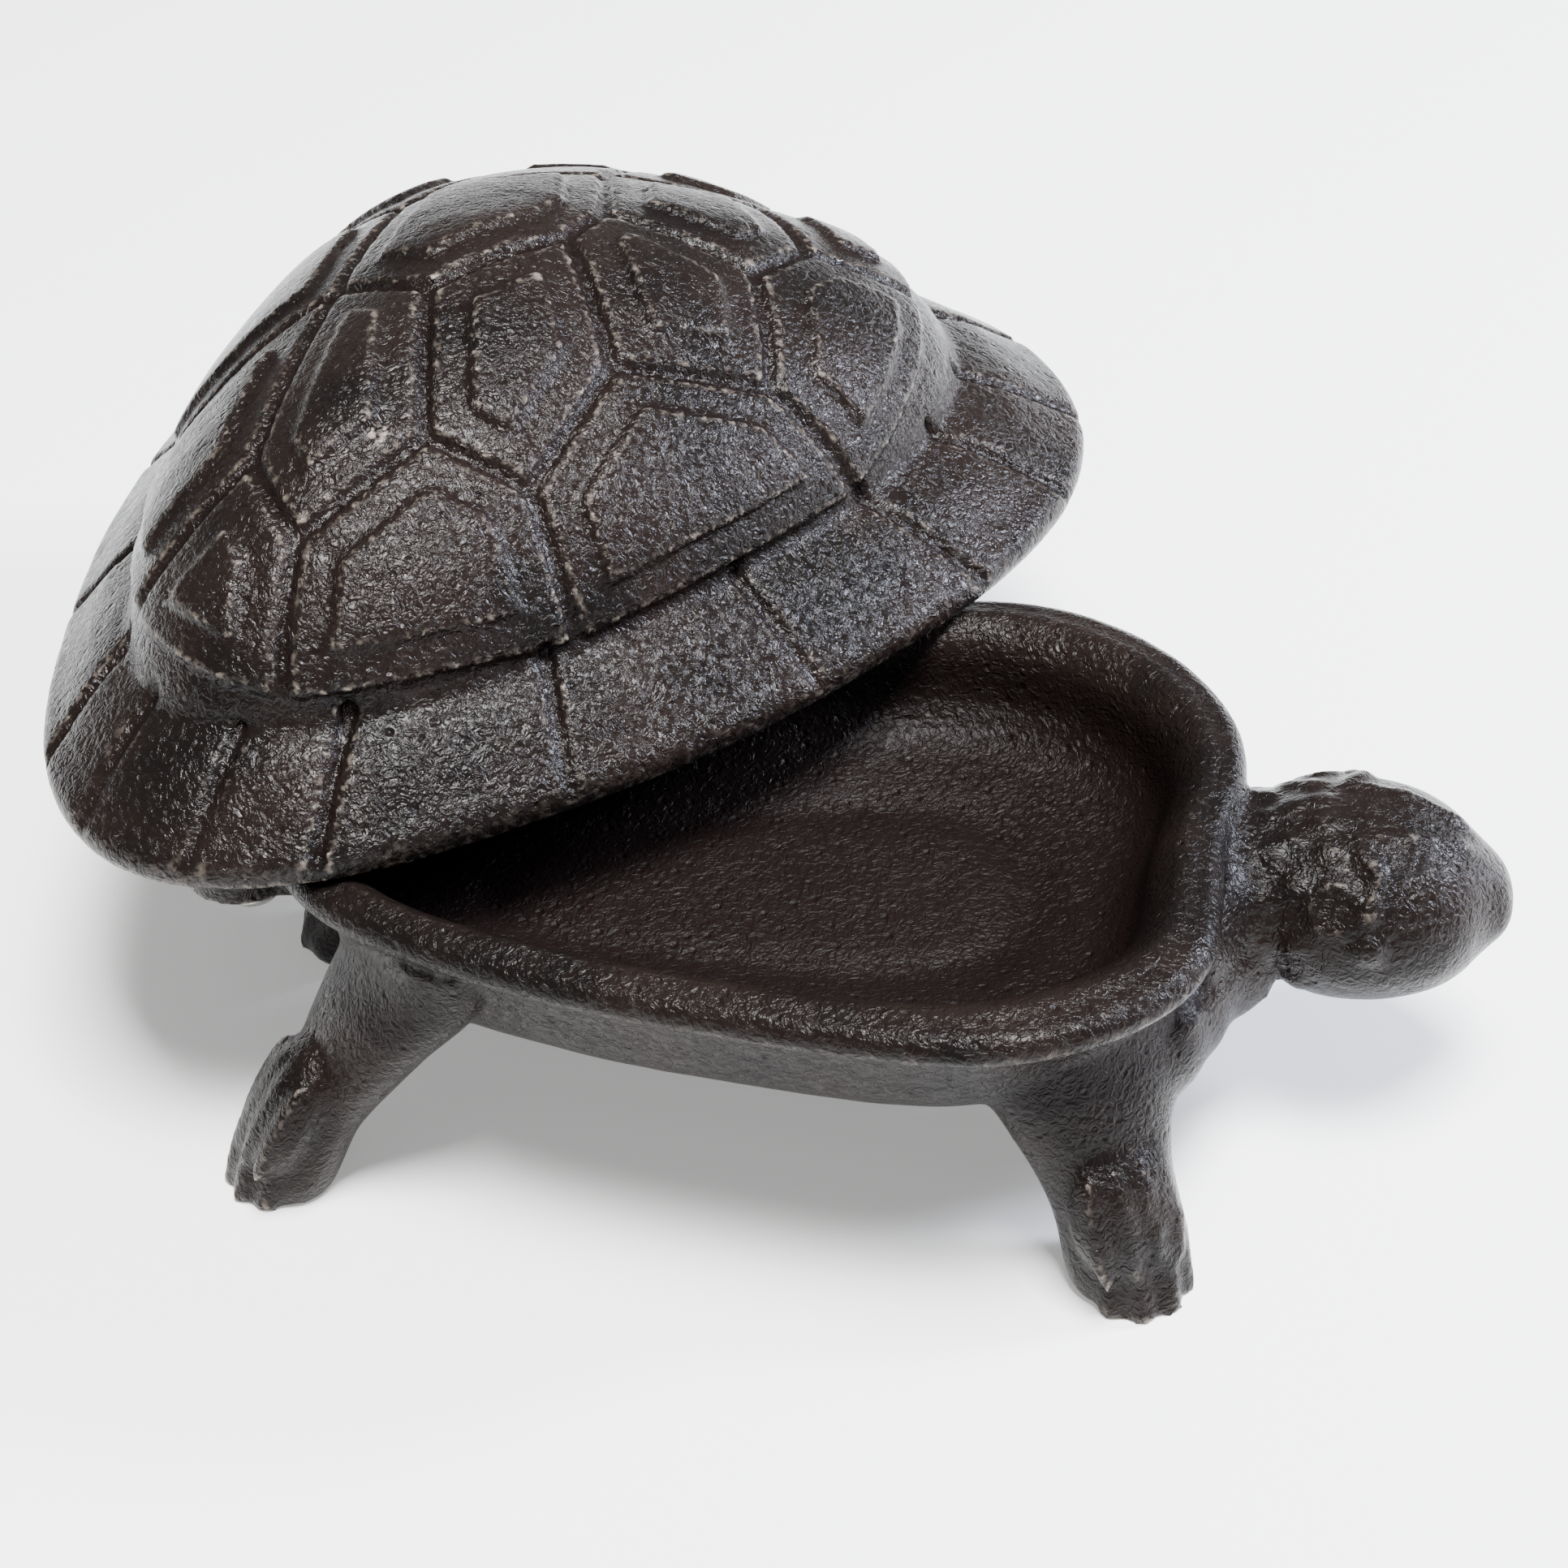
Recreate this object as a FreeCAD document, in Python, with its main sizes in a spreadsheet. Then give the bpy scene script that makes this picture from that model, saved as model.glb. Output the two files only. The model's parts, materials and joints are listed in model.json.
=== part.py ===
import FreeCAD, Part
import Sketcher
import math
import os
from FreeCAD import Placement, Rotation, Vector

# Turtle key hider: a sand-cast tray on four legs, with a head, and a domed shell that swivels on a
# screw at the tail. Millimetres, +X towards the head, +Z up, the soles on z = 0.

doc = FreeCAD.newDocument("turtle_key_hider")
sheet = doc.addObject("Spreadsheet::Sheet", "sizes")

SIZES = [
    # Tray
    ("tray_half_length", 50.0),
    ("tray_half_width", 33.0),
    ("tray_squareness", 2.7),
    ("tray_egg", 0.34),
    ("tray_pinch", 0.0),
    ("rim_height", 37.0),
    ("rim_bead_width", 7.0),
    ("rim_overhang", 1.2),
    ("wall_slope", 5.5),
    ("belly_height", 19.5),
    ("tray_floor_thickness", 4.8),
    # Head
    ("head_reach", 28.5),
    ("head_half_width", 13.0),
    ("head_half_height", 10.3),
    ("head_height", 25.0),
    ("neck_half_width", 15.0),
    ("eye_radius", 2.2),
    # Legs
    ("front_foot_x", 39.0),
    ("front_foot_y", 30.5),
    ("rear_foot_x", -49.5),
    ("rear_foot_y", 18.5),
    ("foot_half_width", 6.2),
    ("toe_radius", 1.8),
    # Shell
    ("skirt_overhang", 17.5),
    ("skirt_width", 12.4),
    ("skirt_rise", 11.5),
    ("skirt_edge", 4.0),
    ("shell_squareness", 2.6),
    ("shell_egg", 0.36),
    ("shell_pinch", 0.14),
    ("dome_height", 26.4),
    ("dome_fullness", 1.57),
    ("dome_wall", 4.0),
    ("seat_width", 4.0),
    ("seat_rib_width", 5.0),
    ("skirt_lip", 3.4),
    ("seat_gap", 0.3),
    ("shell_setback", 2.6),
    ("seam_width", 1.7),
    ("scute_height", 1.0),
    ("panel_margin", 4.2),
    ("panel_height", 0.9),
    ("skirt_seam_depth", 0.9),
    # Pivot
    ("pivot_setback", 4.0),
    ("shell_open_angle", 63.0),
    ("lug_radius", 7.0),
    ("boss_radius", 6.0),
    ("lug_thickness", 10.0),
    ("screw_diameter", 4.0),
    ("screw_length", 20.0),
    ("screw_head_diameter", 8.0),
    ("screw_head_height", 2.8),
    ("recess_width", 1.1),
    ("recess_span", 4.4),
    ("recess_depth", 1.6),
    ("screw_clearance", 0.05),
    ("washer_diameter", 9.0),
    ("washer_thickness", 0.8),
    ("washer_gap", 0.1),
]
for row, (name, value) in enumerate(SIZES, start=1):
    sheet.set("A%d" % row, name)
    sheet.set("B%d" % row, str(value))
    sheet.setAlias("B%d" % row, name)
doc.recompute()


def size(name):
    return float(sheet.get(name))


HALF_LENGTH = size("tray_half_length")
HALF_WIDTH = size("tray_half_width")
RIM = size("rim_height")
SHELL_LENGTH = HALF_LENGTH + size("skirt_overhang")
SHELL_WIDTH = HALF_WIDTH + size("skirt_overhang")
DOME_LENGTH = SHELL_LENGTH - size("skirt_width")
DOME_WIDTH = SHELL_WIDTH - size("skirt_width")
SEAT = RIM + size("seat_gap")
DOME_FOOT = SEAT + size("skirt_rise")
PIVOT_X = -HALF_LENGTH - size("pivot_setback")

RING_POINTS = 16


# Closed curves. Every ring has its points at the same angles, so that lofts run straight between them.
# An oval is a squarish ellipse, wider towards the head and pinched at both ends.
def breadth(part, share):
    return 1.0 + size(part + "_egg") * share - size(part + "_pinch") * share * share


def oval_point(part, length, width, squareness, angle):
    c = math.cos(angle)
    s = math.sin(angle)
    reach = (abs(c / length) ** squareness + abs(s / width) ** squareness) ** (-1.0 / squareness)
    x = reach * c
    return x, reach * s * breadth(part, x / length)


def ring(points):
    curve = Part.BSplineCurve()
    curve.interpolate(Points=points, PeriodicFlag=True)
    return Part.Wire([curve.toShape()])


def oval(part, length, width, squareness, height):
    points = []
    for i in range(RING_POINTS):
        x, y = oval_point(part, length, width, squareness, 2.0 * math.pi * i / RING_POINTS)
        points.append(Vector(x, y, height))
    return ring(points)


def tray_ring(offset, height):
    return oval("tray", HALF_LENGTH + offset, HALF_WIDTH + offset, size("tray_squareness"), height)


def skirt_ring(offset, height):
    return oval("shell", DOME_LENGTH + offset, DOME_WIDTH + offset, size("shell_squareness"), height)


def ellipse_x(x, half_width, half_height, height, count=16):
    points = []
    for i in range(count):
        a = 2.0 * math.pi * i / count
        points.append(Vector(x, half_width * math.cos(a), height + half_height * math.sin(a)))
    return ring(points)


def ellipse_z(x, y, half_x, half_y, turn, height, count=12):
    points = []
    for i in range(count):
        a = 2.0 * math.pi * i / count
        u = half_x * math.cos(a)
        v = half_y * math.sin(a)
        px = x + u * math.cos(turn) - v * math.sin(turn)
        py = y + u * math.sin(turn) + v * math.cos(turn)
        points.append(Vector(px, py, height))
    return ring(points)


def loft(sections):
    return Part.makeLoft(sections, True, False)


# Tray: belly, sloping wall and rounded rim, less the dished hollow.
bead = size("rim_bead_width")
overhang = size("rim_overhang")
belly = size("belly_height")
slope = size("wall_slope")
tray_outside = loft([
    tray_ring(-slope - 9.5, belly),
    tray_ring(-slope - 3.5, belly + 0.6),
    tray_ring(-slope - 0.8, belly + 2.4),
    tray_ring(-0.55 * slope - overhang, belly + 8.0),
    tray_ring(-overhang, RIM - 4.0),
    tray_ring(-0.1, RIM - 2.9),
    tray_ring(-0.3, RIM - 1.6),
    tray_ring(-0.25 * bead, RIM - 0.4),
    tray_ring(-0.5 * bead, RIM),
])
floor_height = belly + size("tray_floor_thickness")
tray_hollow = loft([
    tray_ring(-bead - 16.0, floor_height),
    tray_ring(-bead - 11.0, floor_height + 0.25),
    tray_ring(-bead - 7.0, floor_height + 0.9),
    tray_ring(-bead - 4.0, floor_height + 2.2),
    tray_ring(-bead - 1.9, floor_height + 4.8),
    tray_ring(-bead, RIM - 2.4),
    tray_ring(-0.78 * bead, RIM - 0.7),
    tray_ring(-0.52 * bead, RIM + 0.4),
])

# Neck and head, lofted along X.
head_width = size("head_half_width")
head_depth = size("head_half_height")
head_level = size("head_height")
neck = size("neck_half_width")
reach = size("head_reach")
head_sections = [
    (-0.36, 1.18 * neck, 0.66, 1.8),
    (-0.17, 1.00 * neck, 0.74, 1.6),
    (0.00, 0.80 * neck, 0.80, 1.4),
    (0.10, 0.80 * head_width, 0.82, 1.0),
    (0.20, 0.90 * head_width, 0.91, 0.6),
    (0.38, 1.00 * head_width, 1.00, 0.2),
    (0.58, 0.96 * head_width, 0.97, 0.0),
    (0.78, 0.74 * head_width, 0.77, -0.4),
    (0.92, 0.42 * head_width, 0.46, -0.8),
    (1.00, 0.10 * head_width, 0.12, -1.0),
]
head_rings = []
for along, wide, deep, lift in head_sections:
    head_rings.append(ellipse_x(HALF_LENGTH + along * reach, wide, deep * head_depth, head_level + lift))
head = loft(head_rings)
eyes = []
for side in (-1, 1):
    eye = Part.makeSphere(size("eye_radius"))
    eye.translate(Vector(HALF_LENGTH + 0.44 * reach, side * 0.88 * head_width, head_level + 0.22 * head_depth))
    eyes.append(eye)


# Legs: rings from the wall down to the sole, then four long toes that lie on the front of the foot.
def leg(foot_x, foot_y, hip_x, hip_y, toe_heading, side):
    half = size("foot_half_width")
    stations = [
        (32.0, 0.00, 2.00, 1.05),
        (25.0, 0.10, 1.85, 1.10),
        (19.5, 0.34, 1.52, 1.02),
        (13.5, 0.58, 1.20, 0.90),
        (7.5, 0.84, 1.06, 0.86),
        (3.0, 0.98, 1.06, 0.90),
        (0.0, 1.02, 0.92, 0.78),
    ]
    rings = []
    for height, share, wide, deep in reversed(stations):
        x = hip_x + (foot_x - hip_x) * share
        y = hip_y + (foot_y - hip_y) * share
        turn = side * math.radians(toe_heading + 90.0)
        rings.append(ellipse_z(x, side * y, wide * half, deep * half, turn, height))
    pieces = [loft(rings)]
    toe = size("toe_radius")
    forward = side * math.radians(toe_heading)
    lean_axis = Vector(-math.sin(forward), math.cos(forward), 0)
    for spread in (-54.0, -18.0, 18.0, 54.0):
        heading = side * math.radians(toe_heading + spread)
        x = foot_x + 0.62 * half * math.cos(heading)
        y = side * foot_y + 0.62 * half * math.sin(heading)
        body = Part.makeSphere(1.0)
        matrix = FreeCAD.Matrix()
        matrix.scale(1.4 * toe, toe, 5.2 * toe)
        body = body.transformGeometry(matrix)
        body.rotate(Vector(0, 0, 0), Vector(0, 0, 1), math.degrees(heading))
        body.rotate(Vector(0, 0, 0), lean_axis, -22.0)
        body.translate(Vector(x, y, 1.9 * toe))
        pieces.append(body)
    return pieces


limbs = []
for side in (-1, 1):
    limbs += leg(size("front_foot_x"), size("front_foot_y"), 32.5, 21.5, 62.0, side)
    limbs += leg(size("rear_foot_x"), size("rear_foot_y"), -32.0, 12.5, 150.0, side)

# Tail lug under the shell, with the running bore for the screw.
lug_bottom = RIM - size("lug_thickness")
lug_radius = size("lug_radius")
lug = Part.makeCylinder(lug_radius, size("lug_thickness"), Vector(PIVOT_X, 0, lug_bottom))
lug_web = Part.makeBox(2.0 * lug_radius, 1.6 * lug_radius, size("lug_thickness"))
lug_web.translate(Vector(PIVOT_X, -0.8 * lug_radius, lug_bottom))
bore_radius = 0.5 * size("screw_diameter") + size("screw_clearance")
bore = Part.makeCylinder(bore_radius, 60.0, Vector(PIVOT_X, 0, 0))
below_soles = Part.makeBox(300.0, 300.0, 50.0, Vector(-150.0, -150.0, -50.0))

base_shape = tray_outside.fuse([head] + eyes + limbs + [lug, lug_web])
base_shape = base_shape.cut([tray_hollow, bore, below_soles])
base = doc.addObject("Part::Feature", "base_casting")
base.Label = "base_casting"
base.Shape = base_shape.removeSplitter()


# Shell. The dome is rings that shrink towards the top.
def dome_rise(share):
    fullness = size("dome_fullness")
    return max(0.0, 1.0 - share ** fullness) ** (1.0 / fullness)


def dome(grow, drop):
    rings = [skirt_ring(grow, DOME_FOOT - drop)]
    shares = (1.0, 0.95, 0.82, 0.62, 0.38, 0.15)
    for share in shares:
        height = DOME_FOOT + (size("dome_height") + grow) * dome_rise(share)
        squareness = 2.0 + (size("shell_squareness") - 2.0) * share
        rings.append(oval("shell", (DOME_LENGTH + grow) * share, (DOME_WIDTH + grow) * share, squareness, height))
    top = DOME_FOOT + (size("dome_height") + grow) * dome_rise(0.04)
    rings.append(Part.Vertex(0, 0, top))
    return loft(rings)


def dome_level(x, y):
    y = y / breadth("shell", x / DOME_LENGTH)
    power = size("shell_squareness")
    share = (abs(x / DOME_LENGTH) ** power + abs(y / DOME_WIDTH) ** power) ** (1.0 / power)
    return DOME_FOOT + size("dome_height") * dome_rise(min(share, 0.999))


width = size("skirt_width")
rise = size("skirt_rise")
edge = size("skirt_edge")
# The skirt's section, as (distance outside the dome's foot, height).
SKIRT_SECTION = [
    (width - 0.5, SEAT),
    (width, SEAT + 0.3 * edge),
    (width - 0.2, SEAT + 0.65 * edge),
    (width - 1.6, SEAT + edge),
    (0.56 * width, SEAT + edge + 0.42 * (rise - edge)),
    (0.16 * width, SEAT + edge + 0.86 * (rise - edge)),
    (-0.10 * width, DOME_FOOT + 0.6),
]
skirt = loft([skirt_ring(offset, height) for offset, height in SKIRT_SECTION])

# Scutes. Corners on the dome, seen from above, and the cells between them.
CORNERS = {
    "tail_left": (-48.0, 12.0),
    "tail_right": (-51.0, -10.0),
    "crupper_left": (-34.0, 5.0),
    "crupper_right": (-40.0, -5.0),
    "back_right": (-25.0, -10.5),
    "flank_rear": (-22.0, -21.0),
    "side_rear": (-27.0, -29.0),
    "crown_rear": (-9.0, 0.0),
    "crown_left": (-9.0, 13.0),
    "crown_mid": (7.0, -6.5),
    "crown_front": (15.5, -5.5),
    "flank_mid": (-5.0, -20.0),
    "flank_front": (19.0, -22.0),
    "flank_low": (7.0, -31.0),
    "side_mid": (9.0, -40.0),
    "shoulder_right": (30.0, -22.0),
    "side_front": (40.0, -31.0),
    "nape": (30.0, 5.0),
    "left_mid": (12.0, 20.0),
    "far_rear": (-27.0, 29.0),
    "far_mid": (9.0, 40.0),
    "shoulder_left": (29.0, 21.0),
    "far_front": (40.0, 31.0),
    "collar_right": (40.0, -8.0),
    "collar_left": (41.0, 9.0),
    "front_right": (53.0, -11.0),
    "front_left": (53.0, 11.0),
}
SCUTES = [
    ("tail_left", "tail_right", "crupper_right", "crupper_left"),
    ("crupper_left", "crupper_right", "back_right", "crown_rear", "crown_left"),
    ("crupper_right", "tail_right", "side_rear", "flank_rear", "back_right"),
    ("crown_rear", "back_right", "flank_rear", "flank_mid", "crown_mid"),
    ("crown_mid", "flank_mid", "flank_low", "flank_front", "crown_front"),
    ("flank_rear", "side_rear", "side_mid", "flank_low", "flank_mid"),
    ("flank_low", "side_mid", "side_front", "shoulder_right", "flank_front"),
    ("crown_left", "crown_rear", "crown_mid", "crown_front", "nape", "left_mid"),
    ("crown_front", "flank_front", "shoulder_right", "collar_right", "nape"),
    ("tail_left", "crupper_left", "crown_left", "far_rear"),
    ("far_rear", "crown_left", "left_mid", "far_mid"),
    ("far_mid", "left_mid", "shoulder_left", "far_front"),
    ("left_mid", "nape", "collar_left", "shoulder_left"),
    ("shoulder_right", "side_front", "front_right", "collar_right"),
    ("nape", "collar_right", "front_right", "front_left", "collar_left"),
    ("shoulder_left", "collar_left", "front_left", "far_front"),
]
heart = Vector(-2.0, 0.0, DOME_FOOT - 16.0)


# A cell is a prism whose sides point at one spot under the dome and stand inset from the seam's middle.
def scute_cell(names, inset):
    rays = []
    for name in names:
        x, y = CORNERS[name]
        rays.append(Vector(x, y, dome_level(x, y)) - heart)
    middle = Vector(0, 0, 0)
    for ray in rays:
        middle += ray
    middle.multiply(1.0 / len(rays))
    distance = middle.Length
    axis = Vector(middle).normalize()
    normals = []
    for i, ray in enumerate(rays):
        normal = ray.cross(rays[(i + 1) % len(rays)]).normalize()
        if normal.dot(middle) < 0:
            normal.multiply(-1.0)
        normals.append(normal)
    loops = []
    for level in (0.66 * distance, 1.40 * distance):
        loop = []
        for i in range(len(rays)):
            before = normals[i - 1]
            after = normals[i]
            foot = (before + after) * (inset / (1.0 + before.dot(after)))
            line = before.cross(after).normalize()
            if line.dot(axis) < 0:
                line.multiply(-1.0)
            step = (level - foot.dot(axis)) / line.dot(axis)
            loop.append(heart + foot + line * step)
        loops.append(loop)
    low, high = loops
    faces = [Part.Face(Part.makePolygon(low + [low[0]])), Part.Face(Part.makePolygon(high + [high[0]]))]
    for i in range(len(rays)):
        j = (i + 1) % len(rays)
        faces.append(Part.Face(Part.makePolygon([low[i], low[j], high[j], high[i], low[i]])))
    solid = Part.makeSolid(Part.makeShell(faces))
    if solid.Volume < 0:
        solid.reverse()
    return solid


seam_half = 0.5 * size("seam_width")
scute_dome = dome(size("scute_height"), 3.0)
panel_dome = dome(size("scute_height") + size("panel_height"), 3.0)
panel_inset = seam_half + size("panel_margin")
plate_cells = Part.makeCompound([scute_cell(names, seam_half) for names in SCUTES])
panel_cells = Part.makeCompound([scute_cell(names, panel_inset) for names in SCUTES])
plates = scute_dome.common(plate_cells).Solids + panel_dome.common(panel_cells).Solids

# Seams of the skirt, by their angle from the tail.
SKIRT_SEAMS = (0.0, 12.0, 28.0, 50.0, 78.0, 106.0, 126.0, 141.0, 156.0, 170.0)
SEAM_TOP = DOME_FOOT + 2.0


# A seam cutter is an upright slab whose lower edge runs just under the skirt's surface.
def skirt_seam(angle):
    depth = size("skirt_seam_depth")
    direction = None
    edge_points = []
    for offset, height in SKIRT_SECTION[2:]:
        x, y = oval_point("shell", DOME_LENGTH + offset, DOME_WIDTH + offset, size("shell_squareness"), angle)
        if direction is None:
            direction = Vector(x, y, 0).normalize()
        edge_points.append(direction * (Vector(x, y, 0).dot(direction)) + Vector(0, 0, height - depth))
    outside = edge_points[0] + direction * 4.0
    edge_points.insert(0, outside - Vector(0, 0, 0.5))
    top = [Vector(edge_points[-1].x, edge_points[-1].y, SEAM_TOP), Vector(outside.x, outside.y, SEAM_TOP)]
    profile = Part.Face(Part.makePolygon(edge_points + top + [edge_points[0]]))
    across = Vector(-direction.y, direction.x, 0) * size("seam_width")
    profile.translate(across * -0.5)
    return profile.extrude(across)


grooves = []
for from_tail in SKIRT_SEAMS:
    for side in (-1, 1):
        if from_tail > 0.0 or side == -1:
            grooves.append(skirt_seam(math.pi + side * math.radians(from_tail)))

# The hollow leaves a flat seat that lies on the tray's rim.
seat_inset = size("skirt_overhang") - width + size("seat_width")
crown_inset = seat_inset - 2.5
hollow_rings = [
    skirt_ring(-seat_inset, SEAT - 0.5),
    skirt_ring(-seat_inset + 0.3, SEAT + 0.5 * rise),
]
for share in (1.0, 0.95, 0.80, 0.56, 0.25):
    height = DOME_FOOT + (size("dome_height") - size("dome_wall")) * dome_rise(share)
    squareness = 2.0 + (size("shell_squareness") - 2.0) * share
    hollow_rings.append(oval("shell", (DOME_LENGTH - crown_inset) * share, (DOME_WIDTH - crown_inset) * share,
                             squareness, height))
hollow_top = DOME_FOOT + (size("dome_height") - size("dome_wall")) * dome_rise(0.06)
hollow_rings.append(Part.Vertex(0, 0, hollow_top))
hollow = loft(hollow_rings)

washer_top = lug_bottom - size("washer_gap")
washer_bottom = washer_top - size("washer_thickness")
screw_tip = washer_bottom + size("screw_length")
pivot_in_shell = PIVOT_X + size("shell_setback")
tapping = Part.makeCylinder(bore_radius, screw_tip + 1.0 - SEAT + 1.0, Vector(pivot_in_shell, 0, SEAT - 1.0))

# Under the skirt the casting is relieved between its lip and the rib that carries the seat.
lip = size("skirt_lip")
rib_offset = size("seat_rib_width") - seat_inset
relief = loft([
    skirt_ring(width - lip, SEAT - 0.5),
    skirt_ring(width - lip - 0.8, SEAT + 1.2),
    skirt_ring(0.30 * width, SEAT + 0.40 * rise),
    skirt_ring(rib_offset + 1.5, SEAT + 0.60 * rise),
])
rib = loft([skirt_ring(rib_offset, SEAT - 1.0), skirt_ring(rib_offset + 0.8, DOME_FOOT)])
boss = Part.makeCylinder(size("boss_radius"), rise + 2.0, Vector(pivot_in_shell, 0, SEAT - 1.0))
relief = relief.cut([rib, boss])

shell_shape = dome(0.0, 3.0).fuse([skirt] + plates)
shell_shape = shell_shape.cut(grooves + [hollow, relief, tapping])
shell = doc.addObject("Part::Feature", "shell_lid")
shell.Label = "shell_lid"
shell.Shape = shell_shape


# Pivot screw and washer, under the lug.
def origin_plane(body, role):
    for feature in body.Origin.OriginFeatures:
        if feature.Role == role:
            return feature
    return None


def new_sketch(body, name, role):
    sketch = body.newObject("Sketcher::SketchObject", name)
    sketch.AttachmentSupport = [(origin_plane(body, role), "")]
    sketch.MapMode = "FlatFace"
    return sketch


def bind(sketch, constraint, expression):
    index = sketch.addConstraint(constraint)
    name = "size_%d" % index
    sketch.renameConstraint(index, name)
    sketch.setExpression("Constraints.%s" % name, expression)


# A closed outline whose corners are given by expressions; a zero lies on the axis.
def outline(sketch, corners):
    count = len(corners)
    for i in range(count):
        a = corners[i]
        b = corners[(i + 1) % count]
        sketch.addGeometry(Part.LineSegment(Vector(a[0], a[1], 0), Vector(b[0], b[1], 0)), False)
    for i in range(count):
        sketch.addConstraint(Sketcher.Constraint("Coincident", i, 2, (i + 1) % count, 1))
    for i, corner in enumerate(corners):
        if corner[2] == "0":
            sketch.addConstraint(Sketcher.Constraint("PointOnObject", i, 1, -2))
        else:
            bind(sketch, Sketcher.Constraint("DistanceX", -1, 1, i, 1, corner[0]), corner[2])
        if corner[3] == "0":
            sketch.addConstraint(Sketcher.Constraint("PointOnObject", i, 1, -1))
        else:
            bind(sketch, Sketcher.Constraint("DistanceY", -1, 1, i, 1, corner[1]), corner[3])


screw = doc.addObject("PartDesign::Body", "pivot_screw")
screw.Label = "pivot_screw"
section = new_sketch(screw, "screw_section", "XZ_Plane")
shank = 0.5 * size("screw_diameter")
cap = 0.5 * size("screw_head_diameter")
cap_height = size("screw_head_height")
length = size("screw_length")
outline(section, [
    (0.0, -cap_height, "0", "-sizes.screw_head_height"),
    (0.7 * cap, -cap_height, "sizes.screw_head_diameter * 0.35", "-sizes.screw_head_height"),
    (cap, -0.5 * cap_height, "sizes.screw_head_diameter / 2", "-sizes.screw_head_height / 2"),
    (cap, 0.0, "sizes.screw_head_diameter / 2", "0"),
    (shank, 0.0, "sizes.screw_diameter / 2", "0"),
    (shank, 0.96 * length, "sizes.screw_diameter / 2", "sizes.screw_length * 0.96"),
    (0.7 * shank, length, "sizes.screw_diameter * 0.35", "sizes.screw_length"),
    (0.0, length, "0", "sizes.screw_length"),
])
turned = screw.newObject("PartDesign::Revolution", "turned_screw")
turned.Profile = section
turned.ReferenceAxis = (section, ["V_Axis"])
turned.Angle = 360.0
doc.recompute()
slot_sketch = new_sketch(screw, "recess_slot", "XY_Plane")
slot_sketch.AttachmentOffset = Placement(Vector(0, 0, -cap_height), Rotation())
slot_sketch.setExpression("AttachmentOffset.Base.z", "-sizes.screw_head_height")
span = 0.5 * size("recess_span")
arm = 0.5 * size("recess_width")
outline(slot_sketch, [
    (-span, -arm, "-sizes.recess_span / 2", "-sizes.recess_width / 2"),
    (span, -arm, "sizes.recess_span / 2", "-sizes.recess_width / 2"),
    (span, arm, "sizes.recess_span / 2", "sizes.recess_width / 2"),
    (-span, arm, "-sizes.recess_span / 2", "sizes.recess_width / 2"),
])
slot = screw.newObject("PartDesign::Pocket", "recess")
slot.Profile = slot_sketch
slot.setExpression("Length", "sizes.recess_depth")
slot.Reversed = True
doc.recompute()
cross = screw.newObject("PartDesign::PolarPattern", "cross_recess")
cross.Originals = [slot]
cross.Axis = (slot_sketch, ["N_Axis"])
cross.Angle = 180.0
cross.Occurrences = 2
screw.Tip = cross

washer = doc.addObject("PartDesign::Body", "pivot_washer")
washer.Label = "pivot_washer"
washer_sketch = new_sketch(washer, "washer_rings", "XY_Plane")
for radius, expression in (
    (0.5 * size("washer_diameter"), "sizes.washer_diameter / 2"),
    (bore_radius, "sizes.screw_diameter / 2 + sizes.screw_clearance"),
):
    index = washer_sketch.addGeometry(Part.Circle(Vector(0, 0, 0), Vector(0, 0, 1), radius), False)
    washer_sketch.addConstraint(Sketcher.Constraint("Coincident", index, 3, -1, 1))
    bind(washer_sketch, Sketcher.Constraint("Radius", index, radius), expression)
disc = washer.newObject("PartDesign::Pad", "washer_disc")
disc.Profile = washer_sketch
disc.setExpression("Length", "sizes.washer_thickness")
doc.recompute()

# Places. The shell stands open about the pivot, and the origin lies under the middle of the whole.
opened = Rotation(Vector(0, 0, 1), size("shell_open_angle"))
pivot = Vector(PIVOT_X, 0, 0)
set_back = Placement(Vector(-size("shell_setback"), 0, 0), Rotation())
places = {
    "base_casting": Placement(),
    "shell_lid": Placement(Vector(0, 0, 0), opened, pivot).multiply(set_back),
    "pivot_screw": Placement(Vector(PIVOT_X, 0, washer_bottom), Rotation()),
    "pivot_washer": Placement(Vector(PIVOT_X, 0, washer_bottom), Rotation()),
}
pieces = (base, shell, screw, washer)
for piece in pieces:
    piece.Placement = places[piece.Label]
doc.recompute()
bounds = FreeCAD.BoundBox()
for piece in pieces:
    bounds.add(piece.Shape.optimalBoundingBox(False, False))
to_origin = Placement(Vector(-bounds.Center.x, -bounds.Center.y, 0), Rotation())
for piece in pieces:
    piece.Placement = to_origin.multiply(places[piece.Label])
doc.recompute()

for thing in doc.Objects:
    for fault in ("Invalid", "Error"):
        if fault in thing.State:
            raise RuntimeError("%s is %s" % (thing.Name, fault))
for piece in pieces:
    if piece.Shape.isNull() or not piece.Shape.isValid() or len(piece.Shape.Solids) != 1:
        raise RuntimeError("%s has no sound solid" % piece.Label)
    print(piece.Label, "%.2f cm3" % (piece.Shape.Volume / 1000.0))
print("origin at", to_origin.Base, "pivot at", to_origin.multVec(pivot), bounds)

os.makedirs("parts", exist_ok=True)
for piece in pieces:
    piece.Shape.exportStep("parts/%s.step" % piece.Label)
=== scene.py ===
import json
import math

import bpy
from bpy.props import FloatProperty, FloatVectorProperty, IntProperty, PointerProperty
from mathutils import Matrix, Vector


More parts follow.
